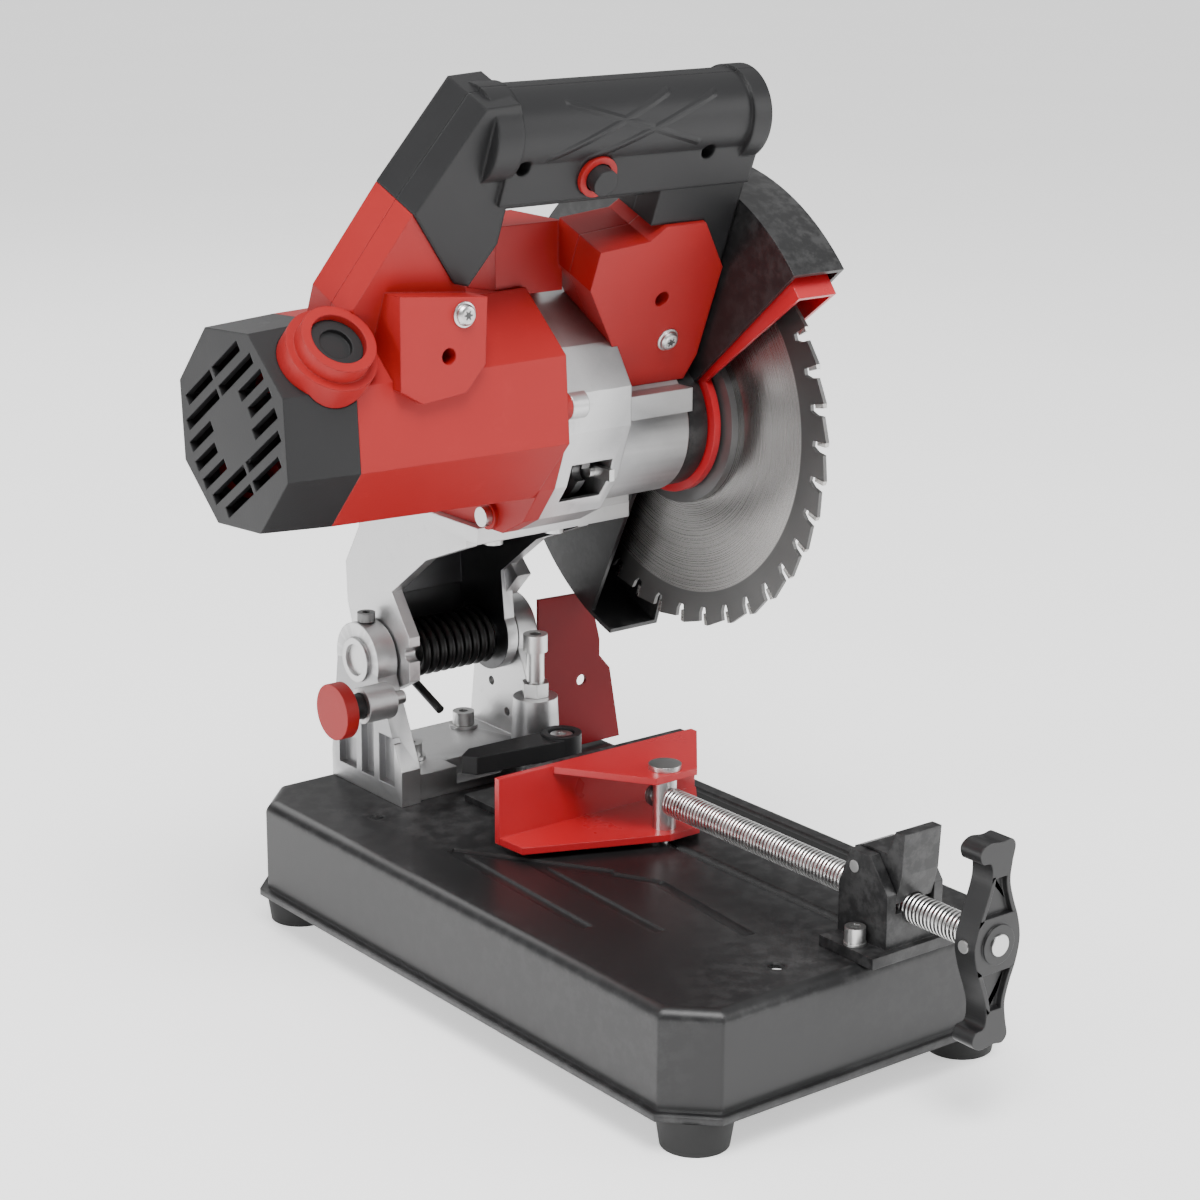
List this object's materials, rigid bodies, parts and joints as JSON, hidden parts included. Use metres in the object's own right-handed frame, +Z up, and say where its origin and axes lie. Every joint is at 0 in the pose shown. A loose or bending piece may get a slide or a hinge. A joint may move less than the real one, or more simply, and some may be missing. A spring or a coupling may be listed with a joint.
{
  "type": "metal-cutting chop saw",
  "caption": "Benchtop metal-cutting chop saw: toothed blade and motor head hinged on a pressed steel base with fence and quick-release vise.",
  "frame": {"origin": "on the floor under the middle of the pressed base", "axes": "+X from the motor to the blade, +Y from the vise handle back to the hinge, +Z up"},
  "size_m": [0.2455, 0.3575, 0.384],
  "materials": {
    "red_paint": "satin powder coat",
    "rubber": "matt",
    "black_metal": "satin black",
    "steel": "zinc plated",
    "dark_steel": "blackened",
    "red_plastic": "fine grain",
    "black_plastic": "fine grain",
    "aluminium": "cast and machined",
    "blade_steel": "ground",
    "iron_core": "laminated"
  },
  "bodies": {
    "base": {"base_pan": "black_metal", "rubber_feet": "rubber", "corner_gussets": "black_metal", "foot_bolts": "steel", "hinge_bracket": "aluminium", "pivot_shaft": "steel", "pivot_set_screw": "dark_steel", "stop_screw": "steel", "stop_nut": "steel", "return_spring": "dark_steel", "spark_plate": "red_paint", "spark_plate_screws": "steel", "fence": "black_metal", "clamp_bolt": "steel", "screw_bracket": "black_metal", "base_bolts": "steel", "half_nut_pin": "steel"},
    "head": {"swing_arm": "aluminium", "gear_case": "aluminium", "arm_bolts": "steel", "flange_screws": "steel", "bearings": "steel", "handle_frame_front": "red_plastic", "handle_frame_back": "red_plastic", "handle_screws": "dark_steel", "grip_front": "black_plastic", "grip_back": "black_plastic", "switch": "black_plastic", "button_bezel": "red_plastic", "end_cap": "black_plastic", "motor_housing": "red_plastic", "stator": "iron_core", "brush_caps": "black_plastic", "upper_guard": "black_metal", "guard_screws": "steel"},
    "blade_set": {"saw_blade": "blade_steel", "spindle": "steel", "drive_wheel": "dark_steel", "lock_disc": "dark_steel", "inner_flange": "dark_steel", "outer_flange": "steel", "blade_bolt": "steel"},
    "rotor": {"armature": "iron_core", "fan": "black_plastic"},
    "guard_shield": {"lower_guard": "red_paint"},
    "pin_set": {"lock_pin": "steel", "lock_knob": "red_plastic", "lock_sleeve": "black_plastic"},
    "spindle_stop": {"spindle_lock": "steel"},
    "jaw": {"moving_jaw": "red_paint", "jaw_pin": "steel", "pin_clip": "dark_steel"},
    "screw": {"vise_screw": "steel", "vise_handle": "black_plastic", "handle_pin": "dark_steel", "screw_clip": "dark_steel"},
    "thumb_nut": {"half_nut": "black_metal"},
    "lever": {"clamp_lever": "black_plastic"},
    "trigger_bar": {"trigger": "black_plastic"},
    "safety_button": {"lock_off_button": "black_plastic"}
  },
  "joints": [
    {"name": "head_swing", "type": "hinge", "parent": "base", "child": "head", "pos_m": [0, 0.128, 0.1175], "axis": [1, 0, 0], "range_deg": [0, 46], "stiffness_Nm_per_rad": 6, "springref_deg": -57.3, "deforming": ["return_spring"]},
    {"name": "blade_spin", "type": "hinge", "parent": "head", "child": "blade_set", "pos_m": [0.0711, 0.0447, 0.2276], "axis": [1, 0, 0], "continuous": true},
    {"name": "rotor_spin", "type": "hinge", "parent": "head", "child": "rotor", "pos_m": [-0.08, 0.0381, 0.25171], "axis": [1, 0, 0], "continuous": true},
    {"name": "shield_swing", "type": "hinge", "parent": "head", "child": "guard_shield", "pos_m": [0.063, 0.0447, 0.2276], "axis": [-1, 0, 0], "range_deg": [-118, 0]},
    {"name": "lock_pin_slide", "type": "slide", "parent": "base", "child": "pin_set", "axis": [1, 0, 0], "range_m": [0, 0.008]},
    {"name": "spindle_lock_slide", "type": "slide", "parent": "head", "child": "spindle_stop", "axis": [-1, 0, 0], "range_m": [0, 0.003], "stiffness_N_per_m": 400, "springref_m": -0.003},
    {"name": "jaw_slide", "type": "slide", "parent": "base", "child": "jaw", "axis": [0, 1, 0], "range_m": [-0.085, 0.003]},
    {"name": "screw_spin", "type": "hinge", "parent": "jaw", "child": "screw", "pos_m": [0.024, -0.1, 0.0765], "axis": [0, -1, 0], "range_deg": [-10230, 380]},
    {"name": "half_nut_lift", "type": "hinge", "parent": "base", "child": "thumb_nut", "pos_m": [0.024, -0.136, 0.091], "axis": [-1, 0, 0], "range_deg": [0, 60]},
    {"name": "lever_turn", "type": "hinge", "parent": "base", "child": "lever", "pos_m": [0.03, 0.076, 0.07], "axis": [0, 0, 1], "range_deg": [0, 30]},
    {"name": "trigger_squeeze", "type": "slide", "parent": "head", "child": "trigger_bar", "axis": [0, -0.3746, 0.9272], "range_m": [0, 0.003], "stiffness_N_per_m": 600, "springref_m": -0.003},
    {"name": "button_press", "type": "slide", "parent": "head", "child": "safety_button", "axis": [0, 0.9272, 0.3746], "range_m": [0, 0.003], "stiffness_N_per_m": 400, "springref_m": -0.003}
  ],
  "couplings": [
    {"joint": "rotor_spin", "follows": "blade_spin", "ratio": -4},
    {"joint": "screw_spin", "follows": "jaw_slide", "rad_per_m": 2094.4}
  ]
}
